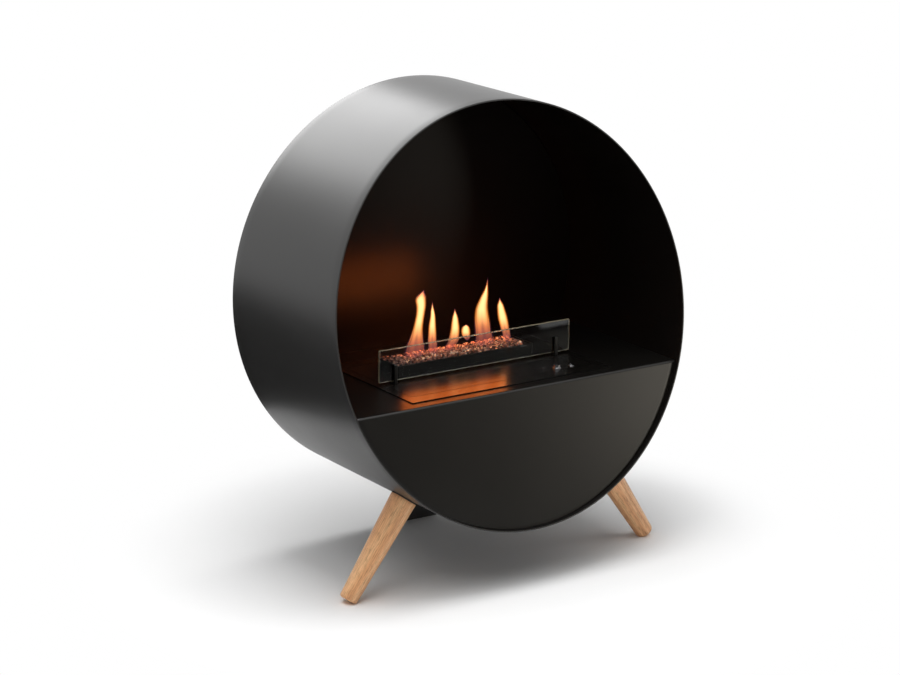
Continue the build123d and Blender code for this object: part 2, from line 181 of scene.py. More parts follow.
def noise_of(tree, coords, scale, detail=3.0, rough=0.55):
    node = add(tree, "ShaderNodeTexNoise", Scale=scale, Detail=detail, Roughness=rough)
    wire(tree, (coords, node.inputs["Vector"]))
    return node.outputs["Fac"]


def object_coords(tree, scale=(1, 1, 1), turn=(0, 0, 0)):
    coords = tree.nodes.new("ShaderNodeTexCoord")
    mapping = add(tree, "ShaderNodeMapping", Scale=scale, Rotation=turn)
    wire(tree, (coords.outputs["Object"], mapping.inputs["Vector"]))
    return mapping.outputs[0]


def bump(tree, shader, height, strength, distance):
    node = add(tree, "ShaderNodeBump", Strength=strength, Distance=distance)
    wire(tree, (height, node.inputs["Height"]), (node.outputs[0], shader.inputs["Normal"]))


# ---- materials --------------------------------------------------------------
PEEL_SCALE, PEEL_DEPTH = 1800.0, 0.00003


def powder_coat(name, color, rough, spread, shine=0.5):
    """Satin powder coat: fine orange peel, and a slow change of gloss from handling."""
    mat, tree, out = new_material(name)
    shader = principled(tree, out, IOR=1.5, Specular_IOR_Level=shine)
    at = object_coords(tree)
    cloud = noise_of(tree, at, 5.0, detail=4.0)
    dust = noise_of(tree, at, 60.0, detail=5.0, rough=0.7)
    wear = add(tree, "ShaderNodeMath", operation="MULTIPLY_ADD")
    wear.inputs[1].default_value = 0.3
    wire(tree, (dust, wear.inputs[0]), (cloud, wear.inputs[2]))
    tone = ramp(tree, wear.outputs[0], [(0.3, scaled(color, 0.88)), (0.9, scaled(color, 1.15))])
    gloss = remap(tree, wear.outputs[0], rough - spread, rough + spread)
    wire(tree, (tone, shader.inputs["Base Color"]), (gloss, shader.inputs["Roughness"]))
    bump(tree, shader, noise_of(tree, at, PEEL_SCALE, detail=2.0), 0.35, PEEL_DEPTH)
    return mat


def brushed_metal(name, color, rough, stretch=(1, 1, 1), scale=900.0):
    """Metal with fine lines where stretch is small, and with a cloudy gloss."""
    mat, tree, out = new_material(name)
    shader = principled(tree, out, Metallic=1.0)
    lines = noise_of(tree, object_coords(tree, scale=stretch), scale, rough=0.7)
    cloud = noise_of(tree, object_coords(tree), 40.0)
    tone = ramp(tree, lines, [(0.3, scaled(color, 0.82)), (0.7, color)])
    gloss = remap(tree, cloud, rough * 0.75, rough * 1.3)
    wire(tree, (tone, shader.inputs["Base Color"]), (gloss, shader.inputs["Roughness"]))
    bump(tree, shader, lines, 0.2, 0.00002)
    return mat


def oiled_wood(name, angle):
    """Pale oak with its grain along a leg that leans by angle in the XZ plane.

    Patterns are scaled high across the grain and low along it, so that they draw out into fibres.
    """
    mat, tree, out = new_material(name)
    shader = principled(tree, out, IOR=1.46, Coat_Weight=0.12, Coat_Roughness=0.35)
    upright = object_coords(tree, turn=(0, angle, 0))

    def along(scale):
        node = add(tree, "ShaderNodeMapping", Scale=scale)
        wire(tree, (upright, node.inputs["Vector"]))
        return node.outputs[0]

    rings = add(tree, "ShaderNodeTexWave", wave_type="RINGS", rings_direction="Z", Scale=26.0,
                Distortion=5.0, Detail=3.0, Detail_Scale=1.6)
    wire(tree, (along((1.0, 0.8, 0.07)), rings.inputs["Vector"]))
    warp = noise_of(tree, along((14, 14, 2.2)), 1.0, rough=0.5)
    fibre = noise_of(tree, along((620, 620, 14)), 1.0, detail=4.0, rough=0.65)
    pores = noise_of(tree, along((1500, 1500, 45)), 1.0, detail=2.0, rough=0.5)
    color = ramp(tree, rings.outputs["Fac"], [(0.0, (0.84, 0.425, 0.195)), (0.55, (0.92, 0.500, 0.240)),
                                             (1.0, (0.96, 0.570, 0.290))])
    streak = ramp(tree, fibre, [(0.30, (0.66, 0.60, 0.56)), (0.58, grey(1.0))])
    cloud = ramp(tree, warp, [(0.25, grey(0.88)), (0.75, grey(1.08))])
    pit = ramp(tree, pores, [(0.34, (0.58, 0.50, 0.44)), (0.46, grey(1.0))])
    for layer in (streak, cloud, pit):
        color = multiply_colors(tree, color, layer)
    gloss = remap(tree, fibre, 0.52, 0.38)
    wire(tree, (color, shader.inputs["Base Color"]), (gloss, shader.inputs["Roughness"]))
    bump(tree, shader, fibre, 0.35, 0.0001)
    return mat


def rubber(name):
    mat, tree, out = new_material(name)
    shader = principled(tree, out, IOR=1.5)
    speck = noise_of(tree, object_coords(tree), 900.0, rough=0.7)
    tone = ramp(tree, speck, [(0.3, grey(0.012)), (0.8, grey(0.03))])
    gloss = remap(tree, speck, 0.6, 0.85)
    wire(tree, (tone, shader.inputs["Base Color"]), (gloss, shader.inputs["Roughness"]))
    bump(tree, shader, speck, 0.3, 0.00005)
    return mat


def stone_chips(name):
    """Crushed stone: the tone changes from chip to chip, with pale and dark minerals."""
    mat, tree, out = new_material(name)
    shader = principled(tree, out, Roughness=0.75, IOR=1.5)
    fleck = noise_of(tree, object_coords(tree), 420.0, detail=4.0, rough=0.7)
    color = ramp(tree, attribute(tree, "tone"), [
        (0.0, (0.07, 0.028, 0.022)), (0.3, (0.22, 0.095, 0.072)), (0.6, (0.38, 0.18, 0.14)),
        (0.85, (0.50, 0.32, 0.26)), (1.0, (0.72, 0.62, 0.54))])
    shade = ramp(tree, fleck, [(0.3, grey(0.55)), (0.7, grey(1.1))])
    wire(tree, (multiply_colors(tree, color, shade), shader.inputs["Base Color"]))
    bump(tree, shader, fleck, 0.6, 0.0004)
    return mat


def ceramic_fibre(name):
    mat, tree, out = new_material(name)
    shader = principled(tree, out, Roughness=0.95)
    threads = noise_of(tree, object_coords(tree, scale=(60, 600, 900)), 1.0, detail=4.0, rough=0.7)
    tone = ramp(tree, threads, [(0.3, (0.5, 0.48, 0.44)), (0.7, (0.82, 0.8, 0.76))])
    wire(tree, (tone, shader.inputs["Base Color"]))
    bump(tree, shader, threads, 0.6, 0.0005)
    return mat


def clear_glass(name):
    mat, tree, out = new_material(name)
    shader = principled(tree, out, Base_Color=(0.93, 0.97, 0.95, 1), IOR=1.5, Transmission_Weight=1.0)
    haze = noise_of(tree, object_coords(tree), 35.0, detail=4.0, rough=0.6)
    wire(tree, (remap(tree, haze, 0.0, 0.05), shader.inputs["Roughness"]))
    return mat


def frosted_edge_painted_firelight(name):
    """Ground rim of the glass: frosted, tinted pale yellow as painted firelight caught in the rim."""
    mat, tree, out = new_material(name)
    shader = principled(tree, out, IOR=1.5, Transmission_Weight=0.55)
    grit = noise_of(tree, object_coords(tree), 700.0)
    # the yellow tones are painted light of the fire; the frosting is the rim's own
    tone = ramp(tree, grit, [(0.3, (0.50, 0.43, 0.27)), (0.7, (0.82, 0.72, 0.48))])
    gloss = remap(tree, grit, 0.28, 0.5)
    wire(tree, (tone, shader.inputs["Base Color"]), (gloss, shader.inputs["Roughness"]))
    return mat


drum_paint = powder_coat("drum_paint", (0.020, 0.0195, 0.019), 0.34, 0.04)
panel_paint = powder_coat("panel_paint", (0.0045, 0.0037, 0.0028), 0.34, 0.03, shine=0.34)
deck_paint = powder_coat("deck_paint", (0.004, 0.0036, 0.0032), 0.30, 0.04, shine=0.20)
insert_paint = powder_coat("insert_paint", (0.004, 0.0036, 0.0032), 0.24, 0.04, shine=0.26)
tray_paint = powder_coat("tray_paint", (0.005, 0.004, 0.0032), 0.30, 0.05, shine=0.18)
inner_paint = powder_coat("inner_paint", (0.004, 0.0034, 0.0030), 0.29, 0.03, shine=0.07)
post_metal = brushed_metal("post_metal", (0.05, 0.049, 0.048), 0.36, stretch=(1, 1, 0.05))
steel = brushed_metal("brushed_steel", (0.55, 0.55, 0.55), 0.32, stretch=(0.05, 1, 1))
polished = brushed_metal("polished_steel", (0.42, 0.42, 0.43), 0.20, scale=500.0)
zinc = brushed_metal("zinc_steel", (0.52, 0.53, 0.55), 0.38)
black_rubber = rubber("black_rubber")
chips_stone = stone_chips("chips_stone")
wick_fibre = ceramic_fibre("wick_fibre")
glass = clear_glass("clear_glass")
glass_edge_painted_firelight = frosted_edge_painted_firelight("glass_edge_painted_firelight")
wood = {"left": oiled_wood("wood_left", -LEG_ANGLE), "right": oiled_wood("wood_right", LEG_ANGLE)}

# each material and the solids that wear it
CAD_DRESS = (
    (drum_paint, "drum_shell", "rear_foot"),
    (inner_paint, "rear_panel", "panel_tabs", "deck_rail_left", "deck_rail_right",
     "leg_backing_left", "leg_backing_right"),
    (panel_paint, "front_panel"),
    (deck_paint, "deck_plate"),
    (insert_paint, "insert_frame", "insert_plate"),
    (tray_paint, "burner_tray", "tray_grid"),
    (steel, "fuel_tank"),
    (wick_fibre, "ceramic_wick"),
    (chips_stone, "stones"),
    (glass, "glass_panel"),
    (post_metal, "glass_post_left", "glass_post_right"),
    (polished, "filler_collar", "filler_cap"),
    (zinc, "leg_bolts"),
    (black_rubber, "rear_foot_pad", "leg_seat_left", "leg_seat_right"),
    (wood["left"], "leg_left"),
    (wood["right"], "leg_right"),
)


def dress_cad():
    """Gives each solid its material."""
    for mat, *names in CAD_DRESS:
        for name in names:
            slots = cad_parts[name].data.materials
            slots.clear()
            slots.append(mat)


# ---- mesh helpers -----------------------------------------------------------
def mesh_from(bm, name, *mats):
    mesh = bpy.data.meshes.new(name)
    bm.to_mesh(mesh)
    bm.free()
    for mat in mats:
        mesh.materials.append(mat)
    return mesh


def finish_piece(name, bm, mats, body, slot, *nodes, smooth=40.0):
    """Turns a bmesh into a piece that rides on a body and stands for the named nodes."""
    bmesh.ops.recalc_face_normals(bm, faces=bm.faces)
    mesh = mesh_from(bm, name, *mats)
    mesh.shade_smooth()
    mesh.set_sharp_from_angle(angle=math.radians(smooth))
    piece = link(name, mesh)
    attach(piece, body)
    if nodes:
        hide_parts(*nodes)
    return piece


def skin(bm, rings, closed=True, loop=False):
    """Quads between rings of equal length; loop joins the last ring to the first."""
    made = [[bm.verts.new(p) for p in ring] for ring in rings]
    count = len(made[0])
    pairs = list(zip(made, made[1:])) + ([(made[-1], made[0])] if loop else [])
    for a, b in pairs:
        for k in range(count if closed else count - 1):
            n = (k + 1) % count
            bm.faces.new((a[k], a[n], b[n], b[k]))
    return made


def cap(bm, ring):
    """Closes a ring with a fan round its centre."""
    centre = bm.verts.new(sum((v.co for v in ring), Vector()) / len(ring))
    for k, v in enumerate(ring):
        bm.faces.new((v, ring[(k + 1) % len(ring)], centre))


def capped_skin(bm, rings):
    """Skin between rings, with a cap on the first and on the last."""
    made = skin(bm, rings)
    cap(bm, made[0])
    cap(bm, made[-1])


def round_edges(piece, width, segments=2, sharper_than=30.0):
    """Rounds the edges that turn by more than an angle in degrees."""
    edge = piece.modifiers.new("edge", "BEVEL")
    edge.width, edge.segments, edge.limit_method = width, segments, "ANGLE"
    edge.angle_limit = math.radians(sharper_than)


def angles(count):
    """Angles of one full turn in equal steps."""
    return [2 * math.pi * k / count for k in range(count)]


def circle(r, height, count, centre, turn=Matrix.Identity(3)):
    """Ring of points at a height along the local Z of centre and turn."""
    return [centre + turn @ Vector((r * math.cos(a), r * math.sin(a), height)) for a in angles(count)]


def arc(cx, cy, r, a0, a1, steps):
    """Points of an arc, angles in degrees."""
    turns = [math.radians(a0 + (a1 - a0) * k / steps) for k in range(steps + 1)]
    return [(cx + r * math.cos(a), cy + r * math.sin(a)) for a in turns]


def rounded_path(half_x, y0, y1, r, steps=6):
    """Rounded rectangle in XY with its outward normals."""
    out = []
    for cx, cy, a0 in ((half_x - r, y1 - r, 0), (-half_x + r, y1 - r, 90),
                       (-half_x + r, y0 + r, 180), (half_x - r, y0 + r, 270)):
        for k in range(steps + 1):
            a = math.radians(a0 + 90 * k / steps)
            normal = Vector((math.cos(a), math.sin(a)))
            out.append((Vector((cx + r * normal.x, cy + r * normal.y)), normal))
    return out


def front_y(z, behind=0.0):
    """Depth of the leaning front plane at a height, or of a plane behind it."""
    return FRONT_Y + LEAN * (z - AXIS_Z) + behind


# ---- drum -------------------------------------------------------------------
def drum():
    """Rolled sheet with a softened rim; the front edge follows the leaning cut."""
    soft, band, count = 0.0007, 0.02, 288
    edge = arc(0, 0, soft, 0, 90, 4)
    profile = [(DRUM_R, "rear", -band), (DRUM_R, "front", band)]
    profile += [(DRUM_R - soft + x, "front", soft - y) for x, y in edge]
    profile += [(INNER_R + soft - x, "front", soft - y) for x, y in reversed(edge)]
    profile += [(INNER_R, "front", band), (INNER_R, "rear", -band)]
    profile += [(INNER_R + soft - x, "rear", y - soft) for x, y in edge]
    profile += [(DRUM_R - soft + x, "rear", y - soft) for x, y in reversed(edge)]
    rings = []
    for r, end, dy in profile:
        ring = []
        for a in angles(count):
            z = AXIS_Z + r * math.sin(a)
            y = front_y(z, dy) if end == "front" else REAR_Y + dy
            ring.append(Vector((r * math.cos(a), y, z)))
        rings.append(ring)
    bm = bmesh.new()
    skin(bm, rings, loop=True)
    for f in bm.faces:
        middle = f.calc_center_median()
        f.material_index = int(math.hypot(middle.x, middle.z - AXIS_Z) < INNER_R + soft)
    finish_piece("drum", bm, (drum_paint, inner_paint), "body", "drum_black", "drum_shell")


def rear_pan():
    """Disc that closes the back, with a flange turned to the rear along the drum's wall."""
    lo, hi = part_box("rear_panel")
    bend, hub, count = 0.0025, 0.05, 240
    profile = [(hub, lo.y), (PAN_R - bend, lo.y)]
    profile += arc(PAN_R - bend, lo.y + bend, bend, -90, 0, 6)
    profile += [(PAN_R, hi.y), (PAN_R - SHEET, hi.y)]
    profile += arc(PAN_R - bend, lo.y + bend, bend - SHEET, 0, -90, 3)
    profile += [(hub, lo.y + SHEET)]
    bm = bmesh.new()
    capped_skin(bm, [[Vector((r * math.cos(a), y, AXIS_Z + r * math.sin(a))) for a in angles(count)]
                     for r, y in profile])
    finish_piece("rear_pan", bm, (inner_paint,), "body", "drum_black", "rear_panel")


def lower_front():
    """Sheet behind the drum's rim, bent back under the shelf along its top edge.

    Its rows of points lie closer near the round bottom, which ends a tip short of a point.
    """
    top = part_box("front_panel")[1].z
    bend, fold, fold_corner, fold_half = 0.003, 0.020, 0.004, 0.290
    steps, across, tip = 40, 48, 0.0004
    bottom, straight_top = AXIS_Z - PAN_R + tip, top - bend
    rows = []
    for k in range(steps + 1):
        z = bottom + (straight_top - bottom) * math.sin(k / steps * math.pi / 2) ** 2
        half = math.sqrt(PAN_R ** 2 - (AXIS_Z - z) ** 2)
        rows.append((front_y(z, RECESS), z, half))
    back = rows[-1][0] + bend
    rows += [(y, z, half) for y, z in arc(back, straight_top, bend, 180, 90, 6)[1:]]
    rows += [(back + fold_corner, top, fold_half), (back + fold, top, fold_half)]
    bm = bmesh.new()
    skin(bm, [[Vector((half * (2 * c / across - 1), y, z)) for c in range(across + 1)]
              for y, z, half in rows], closed=False)
    piece = finish_piece("lower_front", bm, (panel_paint,), "body", "drum_black", "front_panel")
    piece.data.flip_normals()
    thick = piece.modifiers.new("thickness", "SOLIDIFY")
    thick.thickness = SHEET
    thick.offset = -1.0
    round_edges(piece, 0.0004)


# ---- legs -------------------------------------------------------------------
def leg_frame(side):
    """Turns local +Z to the way a leg points, local +Y to the drum's axis direction."""
    s, c = math.sin(side * LEG_ANGLE), math.cos(LEG_ANGLE)
    along = Vector((s, 0, -c))
    depth = Vector((0, 1, 0))
    return Matrix((depth.cross(along), depth, along)).transposed()


def leg_radius(d):
    """Radius of the tapered leg at a distance from the drum's axis."""
    return LEG_R_TOP + (LEG_R_TIP - LEG_R_TOP) * (d - DRUM_R) / (LEG_END - DRUM_R)


def leg(side, hand):
    """Turned leg: scribed to the drum, tip rounded, cut flat where it meets the floor."""
    turn, count = leg_frame(side), 72
    on_axis = Vector((0, LEG_Y, AXIS_Z))
    soft, shaft_end = 0.0006, LEG_END - LEG_ROUND
    first, steps = 0.03, 22
    shares = [0.0, 0.006] + [first + (1 - first) * k / steps for k in range(steps + 1)]
    rings = []
    for share in shares:
        inset = soft if share == 0.0 else 0.0
        top_r = leg_radius(LEG_TOP) - inset
        ring = []
        for a in angles(count):
            start = math.sqrt(LEG_TOP ** 2 - (top_r * math.cos(a)) ** 2)
            d = start + (shaft_end - start) * share
            r = leg_radius(d) - inset
            ring.append(on_axis + turn @ Vector((r * math.cos(a), r * math.sin(a), d)))
        rings.append(ring)
    rounding = arc(leg_radius(shaft_end) - LEG_ROUND, shaft_end, LEG_ROUND, 0, 90, 8)[1:]
    flat_end = [(0.006, LEG_END), (0.002, LEG_END)]
    for r, d in rounding + flat_end:
        rings.append(circle(r, d, count, on_axis, turn))
    for ring in rings:
        for p in ring:
            p.z = max(p.z, 0.0)
    bm = bmesh.new()
    capped_skin(bm, rings)
    finish_piece("wooden_leg_" + hand, bm, (wood[hand],), "body", "light_wood", "leg_" + hand, smooth=50)


# ---- chips on the tray ------------------------------------------------------
# the chips' middles stay inside these limits, on a height map of square cells
HEAP_X0, HEAP_X1, HEAP_Y0, HEAP_Y1 = -0.1355, 0.124, 0.0215, 0.0745
HEAP_CELL, HEAP_TRIES, HEAP_SEED = 0.001, 2500, 11
# height that the heap may reach at its edge, and its rise over the first CROWN_INSET inward
EDGE_TOP, CROWN_RISE, CROWN_INSET = 0.3525, 0.0030, 0.012
CHIP_SMALL, CHIP_LARGE = 0.0026, 0.0042
# shares of a chip's radius: how far it covers the heap, its dome's height, and how it nests
CHIP_COVER, CHIP_DOME, CHIP_NEST = 0.86, 0.62, 0.9
# corners of a chip, its flatness, largest tilt in radians, and room under the lowest ones
CHIP_CORNERS, CHIP_FLAT, CHIP_TILT, CHIP_ROOM = (9, 13), 0.75, 0.8, 0.0003
TONE_MEAN, TONE_SPREAD = 0.5, 0.24


def chip_mesh(bm, tone_layer, at, size, rng):
    """Convex broken stone from random points on a squashed ball."""
    pts = []
    for _ in range(rng.randint(*CHIP_CORNERS)):
        v = Vector((rng.gauss(0, 1), rng.gauss(0, 1), rng.gauss(0, 1))).normalized()
        pts.append(Vector((v.x, v.y * rng.uniform(CHIP_FLAT, 1.0), v.z * CHIP_FLAT)) * size)
    spin = Matrix.Rotation(rng.uniform(0, 2 * math.pi), 3, "Z")
    tilt = Matrix.Rotation(rng.uniform(-CHIP_TILT, CHIP_TILT), 3, "X")
    verts = [bm.verts.new(at + spin @ tilt @ p) for p in pts]
    hull = bmesh.ops.convex_hull(bm, input=verts, use_existing_faces=False)
    tone = min(max(rng.gauss(TONE_MEAN, TONE_SPREAD), 0.0), 1.0)
    for v in verts:
        v[tone_layer] = tone
    loose = {g for g in hull["geom_interior"] + hull["geom_unused"] if isinstance(g, bmesh.types.BMVert)}
    bmesh.ops.delete(bm, geom=list(loose), context="VERTS")


def cells_under(x, y, size, nx, ny):
    """Cells of the height map that a chip covers, with the height of its dome over each."""
    i0, j0 = (x - HEAP_X0) / HEAP_CELL, (y - HEAP_Y0) / HEAP_CELL
    reach = size / HEAP_CELL
    cells = []
    for i in range(max(0, math.ceil(i0 - reach)), min(nx, int(i0 + reach) + 1)):
        for j in range(max(0, math.ceil(j0 - reach)), min(ny, int(j0 + reach) + 1)):
            off = math.hypot(i - i0, j - j0) / reach
            if off < CHIP_COVER:
                cells.append((i, j, math.sqrt(1 - off * off) * size * CHIP_DOME))
    return cells


def heap_of_chips():
    """Chips are dropped one by one on a height map of the tray, so that each lies on those below."""
    rng = random.Random(HEAP_SEED)
    nx, ny = int((HEAP_X1 - HEAP_X0) / HEAP_CELL) + 1, int((HEAP_Y1 - HEAP_Y0) / HEAP_CELL) + 1
    height = [[GRID_TOP + CHIP_ROOM] * ny for _ in range(nx)]
    bm = bmesh.new()
    tone_layer = bm.verts.layers.float.new("tone")
    tries = [(rng.uniform(HEAP_X0, HEAP_X1), rng.uniform(HEAP_Y0, HEAP_Y1)) for _ in range(HEAP_TRIES)]
    for x, y in tries:
        size = rng.uniform(CHIP_SMALL, CHIP_LARGE)
        cells = cells_under(x, y, size, nx, ny)
        bed = max(height[i][j] + dome * CHIP_NEST for i, j, dome in cells)
        inset = min(x - HEAP_X0, HEAP_X1 - x, y - HEAP_Y0, HEAP_Y1 - y)
        if bed + size / 2 > EDGE_TOP + CROWN_RISE * min(1.0, inset / CROWN_INSET):
            continue
        for i, j, dome in cells:
            height[i][j] = max(height[i][j], bed + dome)
        chip_mesh(bm, tone_layer, Vector((x, y, bed)), size, rng)
    finish_piece("stone_heap", bm, (chips_stone,), "burner_unit", "stone_chips", "stones", smooth=12)


# ---- flames -----------------------------------------------------------------
FLAME_Y = (TRAY_LO.y + TRAY_HI.y) / 2
# depth of a flame against its width, and how far it sways to the front and back
FLAME_DEPTH, FLAME_SWAY = 0.6, 0.0015
# how fast the sway turns with height and from flame to flame, in radians per metre
SWAY_UP, SWAY_ALONG = 60, 40
MM_PER_M = 1000
# each flame from its foot to its tip: middle, height and half width, in millimetres
FLAMES = (
    ((-89, 350, 20), (-85, 364, 19), (-80, 383, 13), (-77, 400, 9.5), (-74, 422, 8.5),
     (-73, 437, 9.5), (-74, 449, 10.5), (-71, 458, 7), (-66, 465, 0)),
    ((-48, 350, 9), (-48, 365, 9), (-48, 383, 8), (-49, 401, 7), (-49, 416, 5), (-50, 429, 3),
     (-50, 443, 0)),
    ((-17, 350, 8), (-11, 360, 10), (-5, 370, 10), (-3, 385, 9), (-3, 398, 7.5), (-3, 412, 4.5),
     (-3, 424, 0)),
    ((22, 364, 3), (20, 373, 8), (19, 382, 9), (19, 388, 6.5), (20, 392, 0)),
    ((58, 350, 19), (57, 362, 18), (56, 375, 16), (55, 390, 15.5), (54, 404, 14), (54, 417, 12),
     (57, 432, 8.5), (61, 449, 4.5), (64, 470, 0)),
    ((107, 348, 9), (105, 365, 8), (102, 379, 9), (98, 393, 9.5), (94, 407, 8), (91, 419, 5.5),
     (89, 431, 0)),
)


def along_stations(stations, t):
    """Smooth value between the stations of a flame at a share t of their count."""
    last = len(stations) - 1
    i = min(int(t * last), last - 1)
    f = t * last - i
    rows = [stations[max(i - 1, 0)], stations[i], stations[i + 1], stations[min(i + 2, last)]]
    out = []
    for a, b, c, d in zip(*rows):
        out.append(0.5 * (2 * b + (c - a) * f + (2 * a - 5 * b + 4 * c - d) * f ** 2
                          + (3 * b - 3 * c + d - a) * f ** 3))
    return out


def flame_shell(bm, across, rise, stations, share, lift):
    """One closed layer of a flame; 'across' and 'rise' are kept for the colour.

    A narrower layer starts higher up and ends lower. The tip and the foot are drawn in.
    """
    count, steps, thinnest = 28, 36, 0.00004
    foot, tip = stations[0][1], stations[-1][1]
    reach = 0.70 + 0.30 * share
    rings, rises = [], []
    for i in range(steps + 1):
        up = i / steps
        x, z, half = along_stations(stations, lift + (1 - lift) * up * reach)
        rises.append((z - foot) / (tip - foot))
        x, z, half = x / MM_PER_M, z / MM_PER_M, half / MM_PER_M
        drawn_in = min(1.0, (1 - up) * 6) ** 0.6 * min(1.0, 0.45 + up * 8)
        wide = max(half * share * drawn_in, thinnest)
        y = FLAME_Y + FLAME_SWAY * math.sin(SWAY_UP * z + SWAY_ALONG * x)
        rings.append([(x + wide * math.cos(a), y + wide * FLAME_DEPTH * math.sin(a), z)
                      for a in angles(count)])
    made = skin(bm, rings)
    for ring, up in zip(made, rises):
        for v, a in zip(ring, angles(count)):
            v[across] = abs(math.cos(a))
            v[rise] = up
    for ring in (made[0], made[-1]):
        bm.faces.new(ring)


def burning_gas(name, hot, cool, profile, climb, strength):
    """Glowing layer that hides nothing: profile is its glow across, climb its glow up the flame."""
    mat, tree, out = new_material(name)
    rise = attribute(tree, "rise")
    color = ramp(tree, rise, [(0.0, cool), (0.14, cool), (0.42, hot), (0.85, hot), (1.0, cool)])
    side = ramp(tree, attribute(tree, "across"), [(at, grey(v)) for at, v in profile])
    height = ramp(tree, rise, [(at, grey(v)) for at, v in climb])
    power = add(tree, "ShaderNodeMath", operation="MULTIPLY")
    power.inputs[1].default_value = strength
    fire = tree.nodes.new("ShaderNodeEmission")
    clear = tree.nodes.new("ShaderNodeBsdfTransparent")
    both = tree.nodes.new("ShaderNodeAddShader")
    wire(tree, (product(tree, side, height), power.inputs[0]), (power.outputs[0], fire.inputs["Strength"]),
         (color, fire.inputs["Color"]), (clear.outputs[0], both.inputs[0]),
         (fire.outputs[0], both.inputs[1]), (both.outputs[0], out.inputs["Surface"]))
    return mat


# each layer: its share of the flame's width, how far up it starts, and its gas
FLAME_LAYERS = (
    ("outer", 1.0, 0.0, burning_gas(
        "flame_outer", hot=(1.0, 0.20, 0.02), cool=(0.36, 0.12, 0.34),
        profile=((0.0, 0.8), (0.6, 0.9), (0.85, 0.7), (1.0, 0.0)),
        climb=((0.0, 0.30), (0.15, 0.45), (0.4, 1.0), (1.0, 0.8)), strength=0.20)),
    ("middle", 0.86, 0.03, burning_gas(
        "flame_middle", hot=(1.0, 0.40, 0.09), cool=(1.0, 0.22, 0.04),
        profile=((0.0, 0.20), (0.40, 0.30), (0.72, 1.0), (0.9, 0.8), (1.0, 0.0)),
        climb=((0.0, 0.10), (0.14, 0.45), (0.3, 1.0), (1.0, 0.8)), strength=0.60)),
    ("core", 0.70, 0.09, burning_gas(
        "flame_core", hot=(1.0, 0.76, 0.36), cool=(1.0, 0.30, 0.05),
        profile=((0.0, 1.0), (0.5, 0.9), (0.8, 0.5), (1.0, 0.0)),
        climb=((0.0, 0.02), (0.28, 0.05), (0.52, 0.85), (0.9, 1.0), (1.0, 0.6)), strength=0.62)),
)


def flames():
    """All flames together, one piece for each glowing layer."""
    for label, share, lift, gas in FLAME_LAYERS:
        bm = bmesh.new()
        across, rise = (bm.verts.layers.float.new(layer) for layer in ("across", "rise"))
        for stations in FLAMES:
            flame_shell(bm, across, rise, stations, share, lift)
        finish_piece("flame_" + label, bm, (gas,), "burner_unit", "stone_chips", smooth=180)


# ---- wind guard -------------------------------------------------------------
# the posts are drawn slimmer than their solids by this much on each side
POST_SLIM = Vector((0.0007, 0.0024, 0.0))
# room round the glass in its slot
POST_GAP = 0.0003


def box_mesh(bm, centre, span):
    """Box with its middle and its three sizes."""
    bmesh.ops.create_cube(bm, size=1.0)
    for v in bm.verts:
        v.co = centre + v.co * span


def pane():
    """Glass strip with ground edges: the rim is a material of its own."""
    ground, facing = 0.0007, 0.9
    bm = bmesh.new()
    box_mesh(bm, (GLASS_LO + GLASS_HI) / 2, GLASS_HI - GLASS_LO)
    bmesh.ops.bevel(bm, geom=bm.edges[:], offset=ground, segments=2, affect="EDGES", profile=0.5)
    for f in bm.faces:
        f.material_index = int(abs(f.normal.y) <= facing)
    finish_piece("wind_glass", bm, (glass, glass_edge_painted_firelight), "glass", "clear_glass", "glass_panel", smooth=10)


def post(hand):
    """Slotted post: base under the glass and a prong each side of it."""
    node = "glass_post_" + hand
    lo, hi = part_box(node)
    lo, hi = lo + POST_SLIM, hi - POST_SLIM
    mid = (GLASS_LO.y + GLASS_HI.y) / 2
    slot_half = (GLASS_HI.y - GLASS_LO.y) / 2 + POST_GAP
    floor = GLASS_LO.z - POST_GAP
    outline = [(lo.y, lo.z), (hi.y, lo.z), (hi.y, hi.z), (mid + slot_half, hi.z), (mid + slot_half, floor),
               (mid - slot_half, floor), (mid - slot_half, hi.z), (lo.y, hi.z)]
    bm = bmesh.new()
    left, right = skin(bm, [[(x, y, z) for y, z in outline] for x in (lo.x, hi.x)])
    bm.faces.new(left)
    bm.faces.new(list(reversed(right)))
    piece = finish_piece("post_" + hand, bm, (post_metal,), "burner_unit", "post_steel", node, smooth=35)
    round_edges(piece, 0.0012, segments=3)


# ---- tray and small metal parts ---------------------------------------------
# screws: distance from the plate's right edge and from its front edge, head radius and height,
# socket across flats, shank radius
BUTTON_SCREW = (0.037, 0.011, 0.0055, 0.0019, 0.0032, 0.002)
SMALL_SCREW = (0.087, 0.0224, 0.0024, 0.0012, 0.0014, 0.0012)
SHANK_LENGTH, HEAD_RIM = 0.0015, 0.0005
SLOT_LENGTH, SLOT_WIDTH, SLOT_DEPTH = 0.009, 0.0014, 0.0012


def tray():
    """Folded tub: upright walls with a rounded top edge turned inward."""
    wall, lip, flange = 0.0015, 0.003, 0.004
    bend, corner = 0.0012, 0.0045
    bottom, top = TRAY_LO.z, TRAY_HI.z
    profile = [(0.0, bottom), (0.0, top - bend)]
    profile += arc(-bend, top - bend, bend, 0, 90, 5)
    profile += [(-lip, top), (-lip, top - bend), (-wall, top - bend), (-wall, bottom + wall),
                (-flange, bottom + wall), (-flange, bottom)]
    path = rounded_path(TRAY_HI.x, TRAY_LO.y, TRAY_HI.y, corner)
    bm = bmesh.new()
    skin(bm, [[Vector((*(p + n * off), z)) for off, z in profile] for p, n in path], loop=True)
    finish_piece("tray", bm, (tray_paint,), "burner_unit", "insert_black", "burner_tray", smooth=35)


def hex_radius(a, across_flats):
    """Distance from the centre to a hexagon's side at angle a."""
    third = math.pi / 3
    return across_flats / 2 / math.cos((a + third / 2) % third - third / 2)


